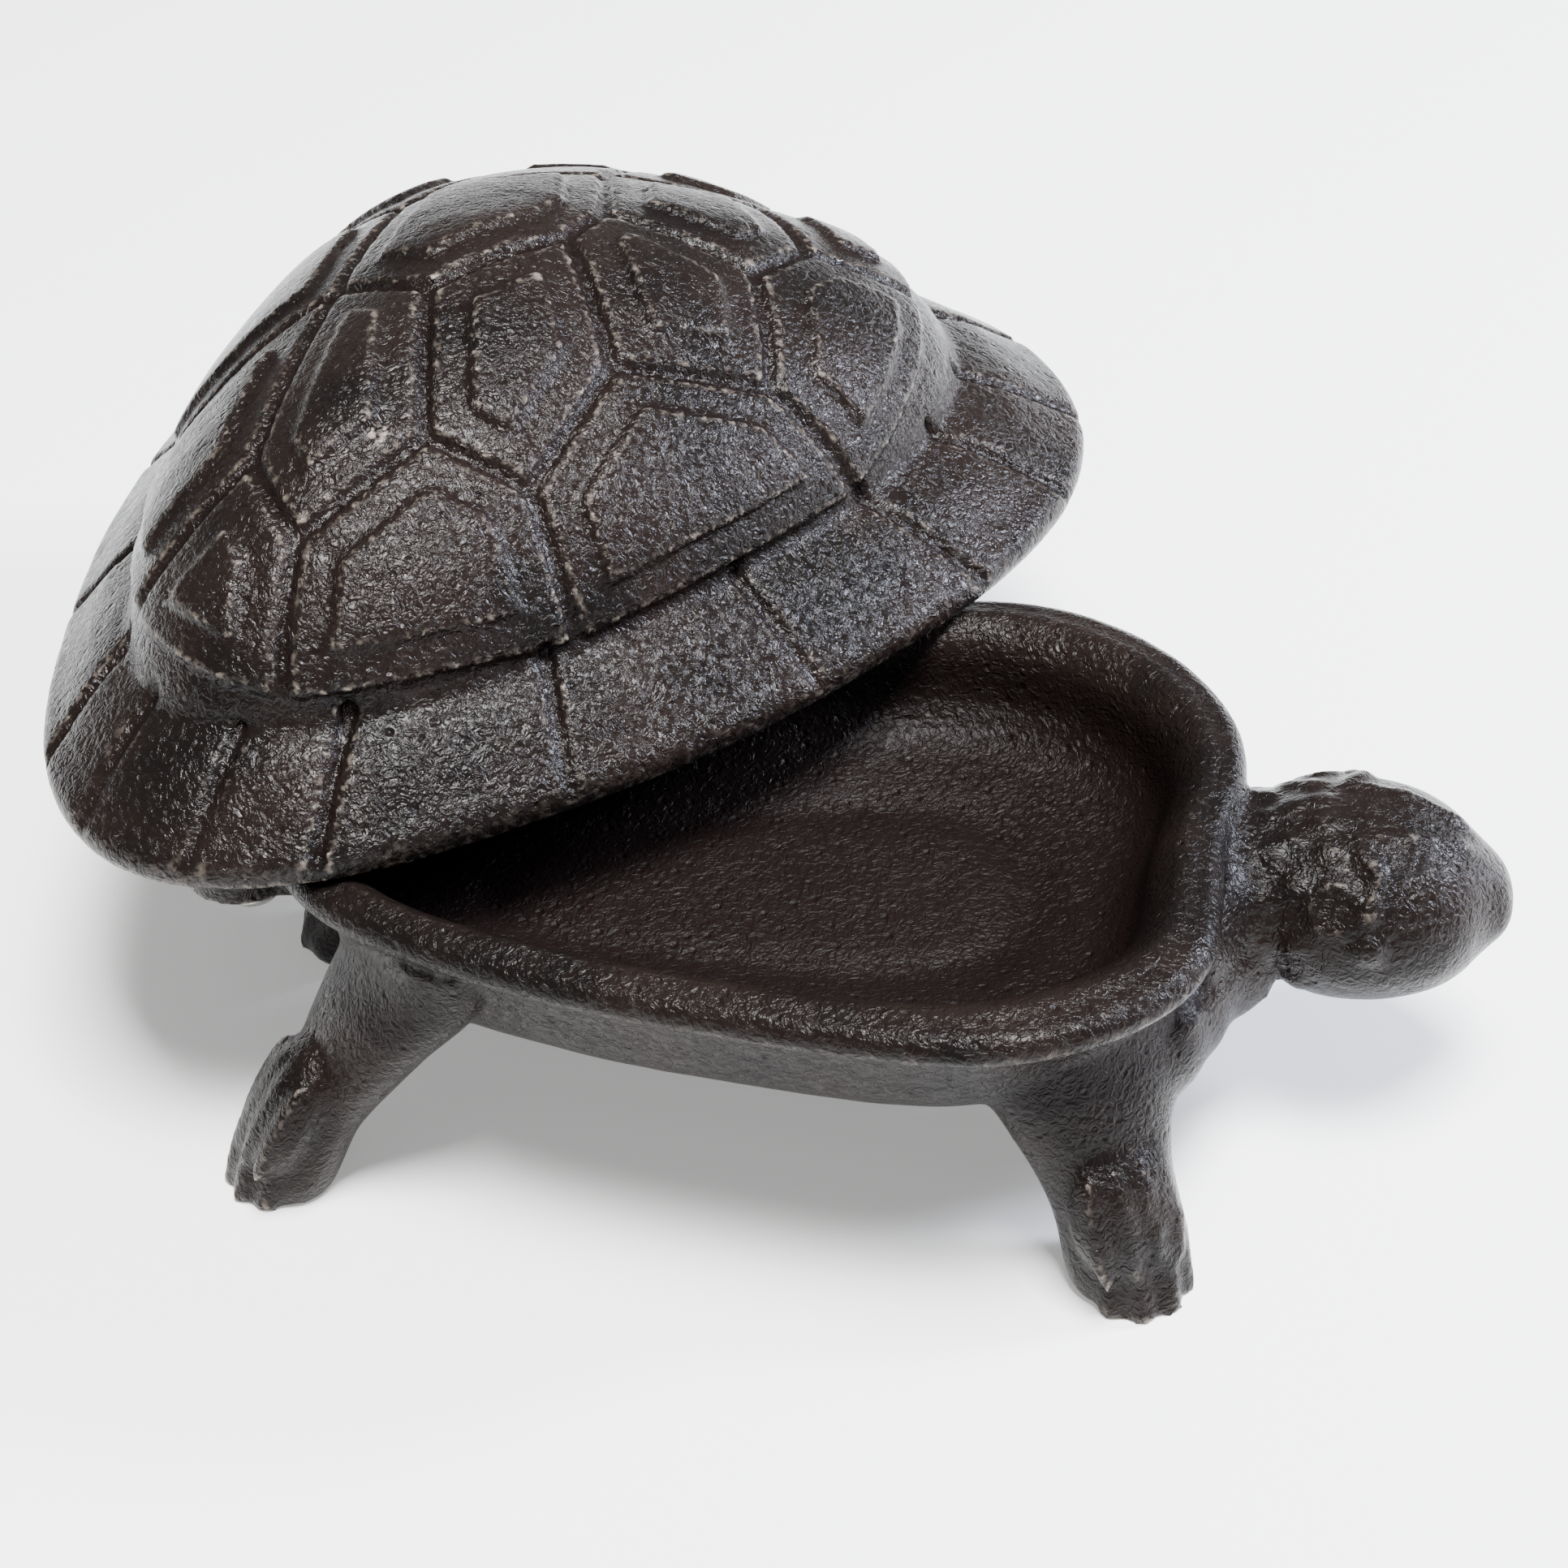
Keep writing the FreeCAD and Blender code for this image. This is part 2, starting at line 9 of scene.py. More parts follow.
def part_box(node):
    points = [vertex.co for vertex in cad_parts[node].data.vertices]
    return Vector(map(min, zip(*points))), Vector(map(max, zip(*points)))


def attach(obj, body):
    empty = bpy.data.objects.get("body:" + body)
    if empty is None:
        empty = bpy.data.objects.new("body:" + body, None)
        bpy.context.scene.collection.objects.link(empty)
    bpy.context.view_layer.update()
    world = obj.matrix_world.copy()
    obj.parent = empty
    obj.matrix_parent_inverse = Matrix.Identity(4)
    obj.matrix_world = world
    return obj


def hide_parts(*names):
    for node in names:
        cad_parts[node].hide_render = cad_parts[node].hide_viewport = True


bl_info = {
    "name": "Turtle key hider",
    "version": (1, 0, 0),
    "blender": (4, 5, 0),
    "location": "View3D > Sidebar > Turtle",
    "description": "Finishes the cast tray, the shell lid and their pivot, and sets the studio",
    "category": "Object",
}

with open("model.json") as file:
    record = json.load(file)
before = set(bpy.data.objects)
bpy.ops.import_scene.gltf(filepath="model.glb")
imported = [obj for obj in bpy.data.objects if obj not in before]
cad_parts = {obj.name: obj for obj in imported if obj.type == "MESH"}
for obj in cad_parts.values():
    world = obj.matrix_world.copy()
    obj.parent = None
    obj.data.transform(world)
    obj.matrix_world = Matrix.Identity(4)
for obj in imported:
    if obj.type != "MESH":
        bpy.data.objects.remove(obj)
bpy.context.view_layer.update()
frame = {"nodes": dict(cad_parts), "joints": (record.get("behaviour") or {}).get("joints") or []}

# Places and directions that the pieces are built from
MM = 0.001
UP = Vector((0.0, 0.0, 1.0))
LENGTHWAYS = Vector((1.0, 0.0, 0.0))
SIDES = (-1.0, 1.0)
PIVOT = Vector(frame["joints"][0]["pos_m"])

# The head reaches from its back to the snout's end, along a level axis at this height
SNOUT_END = Vector(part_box("base_casting")[1]).x
HEAD_REACH = 28.5 * MM
HEAD_BACK = SNOUT_END - HEAD_REACH
HEAD_LEVEL = 25.0 * MM

# Rays that find the head's surface start this far from its axis, in mm, clear of the head
RAY_START = 40.0

# Points of the solids' loose triangles that lie this close are one point
MERGE_DISTANCE = 0.002 * MM

# Share of the fine shell mesh that is kept, so that the piece has under 200,000 triangles
SHELL_MESH_KEPT = 0.58

# Rows of scales: place along the head, degrees reached on each side of its top, and how many
SCALE_ROWS = ((0.10, 112.0, 9), (0.19, 116.0, 9), (0.29, 30.0, 4))

# The ridges of each side, through stops of place along the head and degrees from its top
CREST = ((0.42, 24.0), (0.62, 20.0), (0.84, 14.0))
BROW = ((0.43, 34.0), (0.47, 44.0), (0.44, 60.0))

# Each ridge's stops, how many pebbles, the length of one, and its height as a share of a scale's
RIDGES = ((CREST, 8, 1.6 * MM, 0.8), (BROW, 4, 2.1 * MM, 1.25))

# The eye: place along the head and degrees from its top. Its ring: radii, and mm it is sunk
EYE_ALONG = 0.32
EYE_ANGLE = 60.0
EYE_RADIUS = 2.4 * MM
LID_RADIUS = 0.6 * MM
LID_SUNK = 0.30

# Swellings beside the neck in mm: back from the head, out to the side, height, and half sizes
NECK_SWELLINGS = (
    ((2.5, 8.0, 20.5), (6.5, 5.5, 5.5)),
    ((4.5, 13.0, 21.0), (4.0, 6.0, 7.0)),
    ((7.0, 18.0, 21.0), (4.0, 5.5, 7.0)),
    ((3.0, 10.5, 22.5), (4.2, 4.5, 5.5)),
)

# Front and rear foot in mm: the sole's middle, the leg's root, and the toes' heading in degrees
FEET = (
    ((39.3, 30.5), (32.8, 21.5), 78.0),
    ((-49.2, 18.5), (-31.7, 12.5), 134.0),
)

# A foot's sloping top in mm, from the knee down to the tip, and the toes that lie along it
KNEE_SHARE = 0.38
KNEE_AHEAD = 2.6
KNEE_HEIGHT = 17.0
TIP_AHEAD = 3.4
TIP_HEIGHT = 4.2
PADDLE_WIDTH = 6.2
PADDLE_DEPTH = 3.0
PADDLE_REACH = 0.58
TOE_STEPS = (-1.5, -0.5, 0.5, 1.5)
TOE_SPACING = 2.8
TOE_WIDTH = 1.35
TOE_DEPTH = 1.05
TOE_SUNK = 0.6
TOE_REACH = 0.80

# The tray's inside, which gets painted shade: its floor, its rim, and its end towards the head
TRAY_FLOOR = 21.0 * MM
TRAY_RIM = 35.0 * MM
TRAY_END = HEAD_BACK - 3.0 * MM

# Lamps: name, place in metres, width in metres, watts and colour
LAMPS = (
    ("main_softbox", (0.14, -0.20, 1.12), 0.42, 56.0, "#FFFFFF"),
    ("right_softbox", (0.78, 0.20, 0.44), 0.22, 26.0, "#E4ECFF"),
)

# What the camera looks at: the middle of the open turtle
AIM = Vector((PIVOT.x + 56.3 * MM, PIVOT.y + 13.4 * MM, 27.5 * MM))


def linear(hex_colour):
    """An sRGB hex colour as linear red, green, blue and full alpha."""
    channels = []
    for start in (1, 3, 5):
        value = int(hex_colour[start:start + 2], 16) / 255.0
        channels.append(value / 12.92 if value <= 0.04045 else ((value + 0.055) / 1.055) ** 2.4)
    return tuple(channels) + (1.0,)


# Settings that a user would change
class TurtleCastingSettings(bpy.types.PropertyGroup):
    grain: FloatProperty(
        name="Casting grain",
        description="Smallest form that the sand mould still shows",
        default=0.58 * MM, min=0.4 * MM, max=2.0 * MM, precision=5, unit="LENGTH",
    )
    softening: IntProperty(
        name="Edge softening",
        description="Rounds of smoothing that soften edges as sand casting does",
        default=2, min=0, max=20,
    )
    wobble: FloatProperty(
        name="Hand-made wobble",
        description="Depth of the slow unevenness left by the pattern",
        default=0.16 * MM, min=0.0, max=0.3 * MM, precision=5, unit="LENGTH",
    )
    wobble_size: FloatProperty(
        name="Wobble size",
        description="Distance from one swell of that unevenness to the next",
        default=6.0 * MM, min=1.0 * MM, max=30.0 * MM, precision=4, unit="LENGTH",
    )
    bore_room: FloatProperty(
        name="Bore radius",
        description="Radius of the hole that the screw turns in",
        default=2.3 * MM, min=2.1 * MM, max=3.0 * MM, precision=5, unit="LENGTH",
    )


class TurtleHeadSettings(bpy.types.PropertyGroup):
    scale_width: FloatProperty(
        name="Head scale width",
        description="Width of one raised scale on the back of the head",
        default=3.5 * MM, min=1.0 * MM, max=6.0 * MM, precision=4, unit="LENGTH",
    )
    scale_height: FloatProperty(
        name="Head scale height",
        description="How far a scale stands above the head",
        default=0.78 * MM, min=0.1 * MM, max=1.5 * MM, precision=4, unit="LENGTH",
    )


class TurtleFinishSettings(bpy.types.PropertyGroup):
    iron: FloatVectorProperty(
        name="Coated iron",
        description="Main colour of the dark bronze-brown coating",
        default=linear("#17110F"), size=4, min=0.0, max=1.0, subtype="COLOR",
    )
    iron_dark: FloatVectorProperty(
        name="Dark patches",
        description="Colour of the darker patches of the coating",
        default=linear("#0D0A09"), size=4, min=0.0, max=1.0, subtype="COLOR",
    )
    # Painted shade in the grooves and in the tray's inside, and also the sand's darker speckle
    iron_speckle_and_shade: FloatVectorProperty(
        name="Hollows",
        description="Reddish near-black of the grooves and of the inside of the tray",
        default=linear("#0F0908"), size=4, min=0.0, max=1.0, subtype="COLOR",
    )
    # Painted glints on the ridges, partly also worn coating
    iron_wear_and_glint: FloatVectorProperty(
        name="Worn ridges",
        description="Greyish tan of the ridges where the coating is rubbed",
        default=linear("#857B71"), size=4, min=0.0, max=1.0, subtype="COLOR",
    )
    peel: FloatProperty(
        name="Orange peel",
        description="Distance between the ripples of the coated sand grain",
        default=1.15 * MM, min=0.3 * MM, max=5.0 * MM, precision=5, unit="LENGTH",
    )
    pit: FloatProperty(
        name="Pit spacing",
        description="Distance between the pinholes of the casting",
        default=2.4 * MM, min=0.5 * MM, max=10.0 * MM, precision=5, unit="LENGTH",
    )
    zinc: FloatVectorProperty(
        name="Zinc plate",
        description="Colour of the dulled zinc on the screw and washer",
        default=linear("#A9A8A4"), size=4, min=0.0, max=1.0, subtype="COLOR",
    )


class TurtleStudioSettings(bpy.types.PropertyGroup):
    elevation: FloatProperty(
        name="Camera elevation",
        description="Angle that the camera looks down at",
        default=math.radians(38.63), subtype="ANGLE",
    )
    azimuth: FloatProperty(
        name="Camera azimuth",
        description="Angle of the camera from square to the near side, towards the head",
        default=math.radians(6.9), subtype="ANGLE",
    )
    roll: FloatProperty(
        name="Camera roll",
        description="Tilt of the camera about its line of sight",
        default=math.radians(-4.0), subtype="ANGLE",
    )
    distance: FloatProperty(
        name="Camera distance",
        description="Distance from the camera to the point it looks at",
        default=308.0 * MM, min=0.1, unit="LENGTH",
    )
    lens: FloatProperty(
        name="Lens",
        description="Focal length in millimetres on a 36 mm sensor",
        default=65.36, min=10.0,
    )
    ambient: FloatProperty(
        name="Ambient light",
        description="Strength of the even light from all round",
        default=0.35, min=0.0, max=5.0,
    )
    paper_glow: FloatProperty(
        name="Paper glow",
        description="How strongly the background paper is lit from behind",
        default=0.35, min=0.0, max=10.0,
    )
    floor_colour: FloatVectorProperty(
        name="Floor",
        description="Colour of the plain pale paper",
        default=linear("#F4F4F3"), size=4, min=0.0, max=1.0, subtype="COLOR",
    )


# Helpers that select, join and shape
def only(piece):
    """Leaves this piece alone selected, in object mode."""
    if bpy.context.object and bpy.context.object.mode != "OBJECT":
        bpy.ops.object.mode_set(mode="OBJECT")
    bpy.ops.object.select_all(action="DESELECT")
    piece.select_set(True)
    bpy.context.view_layer.objects.active = piece


def apply_modifier(piece, kind, **settings):
    """Adds a modifier with its settings, and applies it."""
    only(piece)
    modifier = piece.modifiers.new(kind.lower(), kind)
    for name, value in settings.items():
        setattr(modifier, name, value)
    bpy.ops.object.modifier_apply(modifier=modifier.name)


def merged_copy(node_name, piece_name):
    """The node's mesh as a new piece, with its loose triangles merged."""
    solid = frame["nodes"][node_name]
    piece = bpy.data.objects.new(piece_name, solid.data.copy())
    piece.data.name = piece_name
    bpy.context.scene.collection.objects.link(piece)
    piece.data.transform(solid.matrix_world)
    only(piece)
    bpy.ops.object.mode_set(mode="EDIT")
    bpy.ops.mesh.select_all(action="SELECT")
    bpy.ops.mesh.remove_doubles(threshold=MERGE_DISTANCE)
    bpy.ops.object.mode_set(mode="OBJECT")
    return piece


def join(piece, extras):
    """Makes the extras part of the piece's mesh."""
    only(piece)
    for extra in extras:
        extra.select_set(True)
    bpy.ops.object.join()


def apply_place(piece):
    """Moves the object's place, turn and scale into its mesh."""
    only(piece)
    bpy.ops.object.transform_apply(location=True, rotation=True, scale=True)


def lump(place, normal, sizes, along=LENGTHWAYS):
    """A pebble on a surface. Its half sizes are along it, across it and out of it."""
    bpy.ops.object.select_all(action="DESELECT")
    bpy.ops.mesh.primitive_ico_sphere_add(subdivisions=3, radius=1.0, location=place)
    pebble = bpy.context.object
    pebble.scale = sizes
    across = normal.cross(along).normalized()
    turn = Matrix((across.cross(normal), across, normal)).transposed()
    pebble.rotation_euler = turn.to_euler()
    apply_place(pebble)
    return pebble


def smooth_where(piece, chosen, rounds):
    """Smooths only the vertices that chosen picks, as a hand with a file would."""
    group = piece.vertex_groups.new(name="filed")
    group.add([v.index for v in piece.data.vertices if chosen(v)], 1.0, "REPLACE")
    apply_modifier(piece, "SMOOTH", factor=0.5, iterations=rounds, vertex_group="filed")
    piece.vertex_groups.clear()


def drop_specks(piece):
    """Keeps the piece's main skin, and drops specks that came loose from it."""
    name = piece.name
    only(piece)
    bpy.ops.mesh.separate(type="LOOSE")
    parts = list(bpy.context.selected_objects)
    main_skin = max(parts, key=lambda part: len(part.data.vertices))
    for part in parts:
        if part is not main_skin:
            bpy.data.objects.remove(part)
    main_skin.name = name
    main_skin.data.name = name
    return main_skin


def soften_as_cast(piece, stays):
    """Fuses the piece's parts into one skin, softens it and gives it a hand-made wobble.
    A point that stays says yes to is left where it was drawn."""
    cast = bpy.context.scene.turtle_casting
    apply_modifier(piece, "REMESH", mode="VOXEL", voxel_size=cast.grain, use_smooth_shade=True)
    apply_modifier(piece, "SMOOTH", factor=0.5, iterations=cast.softening)
    moving = piece.vertex_groups.new(name="moving")
    moving.add([v.index for v in piece.data.vertices if not stays(v.co)], 1.0, "REPLACE")
    clouds = bpy.data.textures.new(piece.name + "_wobble", "CLOUDS")
    clouds.noise_scale = cast.wobble_size
    clouds.noise_depth = 1
    apply_modifier(piece, "DISPLACE", texture=clouds, texture_coords="LOCAL",
                   strength=cast.wobble, mid_level=0.5, vertex_group="moving")
    piece.vertex_groups.clear()
    only(piece)
    bpy.ops.object.shade_smooth()


# Parts of the castings that are picked by their place
def base_seat(point):
    """Round the pivot, where the shell and washer lie on the lug, and the flat soles."""
    return (point - PIVOT).xy.length < 8.0 * MM or point.z < 1.0 * MM


def shell_seat(point):
    """The foot of the shell's boss, which turns on the lug."""
    return (point - PIVOT).xy.length < 5.0 * MM and point.z < 45.0 * MM


def in_tray(vertex):
    """The dished floor of the tray."""
    near_floor = 22.0 * MM < vertex.co.z < 31.0 * MM
    return vertex.normal.z > 0.55 and near_floor and vertex.co.x < HEAD_BACK


def on_foot(vertex):
    """The feet, down to just above their soles."""
    return 1.2 * MM < vertex.co.z < 17.0 * MM


def nose_tip(vertex):
    """The point of the snout."""
    return vertex.co.x > SNOUT_END - 5.0 * MM


def under_neck(vertex):
    """The underside where the neck runs into the tray's wall."""
    return -9.0 * MM < vertex.co.x - HEAD_BACK < 3.0 * MM and 10.0 * MM < vertex.co.z < 25.0 * MM


# What is filed smoother than the rest, and the rounds of smoothing it gets
FILED = ((in_tray, 60), (on_foot, 3), (nose_tip, 40), (under_neck, 60))


# Finishes
def node(tree, kind, values=None):
    """Adds one node. A value is a setting, or an input's number, colour or output to link."""
    added = tree.nodes.new(kind)
    for name, value in (values or {}).items():
        if isinstance(value, bpy.types.NodeSocket):
            tree.links.new(value, added.inputs[name])
        elif isinstance(name, int) or name in added.inputs:
            added.inputs[name].default_value = value
        else:
            setattr(added, name, value)
    return added


def new_material(name):
    """An empty material and its node tree."""
    material = bpy.data.materials.new(name)
    material.use_nodes = True
    material.node_tree.nodes.clear()
    return material, material.node_tree


def coated_cast_iron(name, gloss, wear_and_glint_from, shaded_hollow_box=None):
    """Sand-cast iron under a thin bronze-brown lacquer, which gives many small soft glints.
    The sand leaves a rippled skin with pinholes. Painted shade darkens the grooves. Ridges
    above a given pointiness are painted pale, partly as worn lacquer and partly as painted
    glints.
    In the tray, whose floor, rim and front end the last argument gives, painted shade darkens
    the coating, and the lacquer there is duller."""
    finish = bpy.context.scene.turtle_finish
    material, tree = new_material(name)
    coordinates = node(tree, "ShaderNodeTexCoord")
    place = coordinates.outputs["Object"]

    # Patches of thicker lacquer are about 14 mm wide, and the casting's slow swells 4.5 mm.
    # Moulding sand is 0.2 to 0.5 mm, too fine to show here, so its speckle is 0.9 mm wide.
    patches = node(tree, "ShaderNodeTexNoise", {
        "Vector": place, "Scale": 1.0 / (14.0 * MM), "Detail": 4.0})
    swells = node(tree, "ShaderNodeTexNoise", {
        "Vector": place, "Scale": 1.0 / (4.5 * MM), "Detail": 2.0})
    speckle = node(tree, "ShaderNodeTexNoise", {
        "Vector": place, "Scale": 1.0 / (0.9 * MM), "Detail": 2.0})
    peel = node(tree, "ShaderNodeTexNoise", {
        "Vector": place, "Scale": 1.0 / finish.peel, "Detail": 2.5, "Roughness": 0.55,
        "Distortion": 1.6})
    pits = node(tree, "ShaderNodeTexVoronoi", {
        "Vector": place, "Scale": 1.0 / finish.pit, "Randomness": 1.0})
    pointed = node(tree, "ShaderNodeNewGeometry").outputs["Pointiness"]

    # The coating is darker in patches and in the sand's speckle. Painted shade makes it darkest
    # in the grooves.
    patchy = node(tree, "ShaderNodeMapRange", {
        "Value": patches.outputs["Fac"], "From Min": 0.40, "From Max": 0.62})
    coat = node(tree, "ShaderNodeMix", {
        "data_type": "RGBA", "Factor": patchy.outputs["Result"],
        "A": finish.iron, "B": finish.iron_dark})
    speckled = node(tree, "ShaderNodeMapRange", {
        "Value": speckle.outputs["Fac"], "From Min": 0.52, "From Max": 0.72, "To Max": 0.55})
    coat = node(tree, "ShaderNodeMix", {
        "data_type": "RGBA", "Factor": speckled.outputs["Result"],
        "A": coat.outputs["Result"], "B": finish.iron_speckle_and_shade})
    outside_groove_shade = node(tree, "ShaderNodeMapRange", {
        "Value": pointed, "From Min": 0.455, "From Max": 0.492})
    coat = node(tree, "ShaderNodeMix", {
        "data_type": "RGBA", "Factor": outside_groove_shade.outputs["Result"],
        "A": finish.iron_speckle_and_shade, "B": coat.outputs["Result"]})

    # Ridges are painted pale, grain by grain: partly worn coating, partly painted glints.
    rubbed_and_glinting = node(tree, "ShaderNodeMapRange", {
        "Value": pointed, "From Min": wear_and_glint_from, "From Max": wear_and_glint_from + 0.037})
    grains = node(tree, "ShaderNodeMapRange", {
        "Value": speckle.outputs["Fac"], "From Min": 0.48, "From Max": 0.64, "To Max": 0.7})
    scuffs_and_glints = node(tree, "ShaderNodeMath", {
        "operation": "MULTIPLY", 0: rubbed_and_glinting.outputs["Result"], 1: grains.outputs["Result"]})
    coat = node(tree, "ShaderNodeMix", {
        "data_type": "RGBA", "Factor": scuffs_and_glints.outputs["Value"],
        "A": coat.outputs["Result"], "B": finish.iron_wear_and_glint})

    if shaded_hollow_box:
        # Painted shade darkens the tray's inside, where all four shares are full: above its
        # floor, below its rim, facing up, and behind its front end.
        floor, rim, end = shaded_hollow_box
        spot = node(tree, "ShaderNodeSeparateXYZ", {"Vector": place})
        facing = node(tree, "ShaderNodeSeparateXYZ", {"Vector": coordinates.outputs["Normal"]})
        hollow_shade = 1.0
        for measure, empty, full in (
            (spot.outputs["Z"], floor, floor + 2.0 * MM),
            (spot.outputs["Z"], rim, rim - 3.0 * MM),
            (facing.outputs["Z"], 0.0, 0.25),
            (spot.outputs["X"], end, end - 3.0 * MM),
        ):
            share = node(tree, "ShaderNodeMapRange", {
                "Value": measure, "From Min": empty, "From Max": full})
            both = node(tree, "ShaderNodeMath", {
                "operation": "MULTIPLY", 0: hollow_shade, 1: share.outputs["Result"]})
            hollow_shade = both.outputs["Value"]
        # Painted shade: the tray's inside takes the near-black colour
        coat = node(tree, "ShaderNodeMix", {
            "data_type": "RGBA", "Factor": hollow_shade,
            "A": coat.outputs["Result"], "B": finish.iron_speckle_and_shade})
        roughness = node(tree, "ShaderNodeMapRange", {
            "Value": hollow_shade, "To Min": 0.28, "To Max": 0.42})
    else:
        roughness = node(tree, "ShaderNodeMapRange", {
            "Value": peel.outputs["Fac"], "From Min": 0.30, "From Max": 0.70,
            "To Min": 0.17, "To Max": 0.32})

    slow = node(tree, "ShaderNodeBump", {
        "Height": swells.outputs["Fac"], "Strength": 0.7, "Distance": 0.35 * MM})
    ripple = node(tree, "ShaderNodeBump", {
        "Height": peel.outputs["Fac"], "Normal": slow.outputs["Normal"],
        "Strength": 1.0, "Distance": 0.34 * MM})
    pinholes = node(tree, "ShaderNodeMapRange", {
        "Value": pits.outputs["Distance"], "From Min": 0.05, "From Max": 0.22})
    skin = node(tree, "ShaderNodeBump", {
        "Height": pinholes.outputs["Result"], "Normal": ripple.outputs["Normal"],
        "Strength": 0.6, "Distance": 0.3 * MM})
    shader = node(tree, "ShaderNodeBsdfPrincipled", {
        "Base Color": coat.outputs["Result"], "Roughness": roughness.outputs["Result"],
        "Normal": skin.outputs["Normal"], "Metallic": 0.05, "Specular IOR Level": gloss})
    node(tree, "ShaderNodeOutputMaterial", {"Surface": shader.outputs["BSDF"]})
    return material


def dulled_zinc(name):
    """Zinc-plated steel that has stood outdoors: pale, with a cloudy haze, no longer bright."""
    finish = bpy.context.scene.turtle_finish
    material, tree = new_material(name)
    place = node(tree, "ShaderNodeTexCoord").outputs["Object"]
    haze = node(tree, "ShaderNodeTexNoise", {
        "Vector": place, "Scale": 1.0 / (1.5 * MM), "Detail": 3.0}).outputs["Fac"]
    cloudy = node(tree, "ShaderNodeMapRange", {
        "Value": haze, "From Min": 0.40, "From Max": 0.65})
    weathered = [channel * 0.7 for channel in finish.zinc[:3]] + [1.0]
    colour = node(tree, "ShaderNodeMix", {
        "data_type": "RGBA", "Factor": cloudy.outputs["Result"],
        "A": finish.zinc, "B": weathered})
    roughness = node(tree, "ShaderNodeMapRange", {
        "Value": haze, "From Min": 0.3, "From Max": 0.7, "To Min": 0.32, "To Max": 0.5})
    shader = node(tree, "ShaderNodeBsdfPrincipled", {
        "Base Color": colour.outputs["Result"], "Roughness": roughness.outputs["Result"],
        "Metallic": 1.0})
    node(tree, "ShaderNodeOutputMaterial", {"Surface": shader.outputs["BSDF"]})
    return material


def studio_paper(name):
    """Matt white background paper, lit from behind as well: no gloss, one even tone."""
    studio = bpy.context.scene.turtle_studio
    material, tree = new_material(name)
    shader = node(tree, "ShaderNodeBsdfPrincipled", {
        "Base Color": studio.floor_colour, "Roughness": 0.9,
        "Emission Color": studio.floor_colour, "Emission Strength": studio.paper_glow})
    node(tree, "ShaderNodeOutputMaterial", {"Surface": shader.outputs["BSDF"]})
    return material


# Carved forms of the head, neck and feet
def on_head(casting, along, angle):
    """The point and normal where a ray from the head's axis leaves the head."""
    start = Vector((HEAD_BACK + along * HEAD_REACH, PIVOT.y, HEAD_LEVEL))
    way = Vector((0.0, math.sin(angle), math.cos(angle)))
    far = start + way * RAY_START * MM
    found, place, normal, _ = casting.ray_cast(far, -way)
    if not found:
        raise RuntimeError("no head surface at %.2f" % along)
    return place, normal


def ridge(casting, stops, count, wide, high):
    """A raised ridge through its stops. Its pebbles overlap, are sunk by a quarter of their
    height, and differ a little in size, so that it looks carved by hand."""
    points = []
    for i in range(count):
        share = i / (count - 1) * (len(stops) - 1)
        first = min(int(share), len(stops) - 2)
        part = share - first
        (along_a, angle_a), (along_b, angle_b) = stops[first:first + 2]
        along = along_a * (1.0 - part) + along_b * part
        angle = angle_a * (1.0 - part) + angle_b * part
        points.append(on_head(casting, along, math.radians(angle)))
    pebbles = []
    for i, (place, normal) in enumerate(points):
        after = points[min(i + 1, count - 1)][0]
        before = points[max(i - 1, 0)][0]
        way = (after - before).normalized()
        swell = 1.0 + 0.22 * math.sin(2.4 * i)
        sizes = (1.15 * wide, 0.5 * wide * swell, high * swell)
        pebbles.append(lump(place - normal * 0.25 * high, normal, sizes, way))
    return pebbles


def head_scales(casting):
    """Scales over the back of the head, and a crest and a knobbly brow on each side.
    Every second row is shifted, and the scales are sunk by a third and differ a little."""
    head = bpy.context.scene.turtle_head
    wide = head.scale_width
    high = head.scale_height
    scales = []
    for row, (along, reach, count) in enumerate(SCALE_ROWS):
        for i in range(count):
            share = (i + 0.25 * (row % 2)) / (count - 1) * 2.0 - 1.0
            angle = math.radians(reach) * share
            uneven = 0.015 * math.sin(5.0 * i + row)
            place, normal = on_head(casting, along + uneven, angle)
            swell = 1.0 + 0.18 * math.sin(3.0 * i + 2.0 * row)
            sizes = (0.48 * wide, 0.46 * wide * swell, high)
            scales.append(lump(place - normal * 0.35 * high, normal, sizes))
    for side in SIDES:
        for stops, count, pebble, share in RIDGES:
            turned = [(along, angle * side) for along, angle in stops]
            scales += ridge(casting, turned, count, pebble, share * high)
    return scales


def eyelids(casting):
    """A soft ring round each eye."""
    rings = []
    for side in SIDES:
        place, normal = on_head(casting, EYE_ALONG, math.radians(EYE_ANGLE * side))
        bpy.ops.object.select_all(action="DESELECT")
        bpy.ops.mesh.primitive_torus_add(
            major_radius=EYE_RADIUS, minor_radius=LID_RADIUS,
            major_segments=40, minor_segments=12,
            location=place - normal * LID_SUNK * MM,
            rotation=normal.to_track_quat("Z", "Y").to_euler())
        lid = bpy.context.object
        apply_place(lid)
        rings.append(lid)
    return rings


def neck_fillets():
    """The swelling on each side where the neck runs into the tray's wall."""
    fillets = []
    for side in SIDES:
        for (back, out, level), sizes in NECK_SWELLINGS:
            place = Vector((HEAD_BACK - back * MM, PIVOT.y + side * out * MM, level * MM))
            fillets.append(lump(place, UP, [size * MM for size in sizes]))
    return fillets


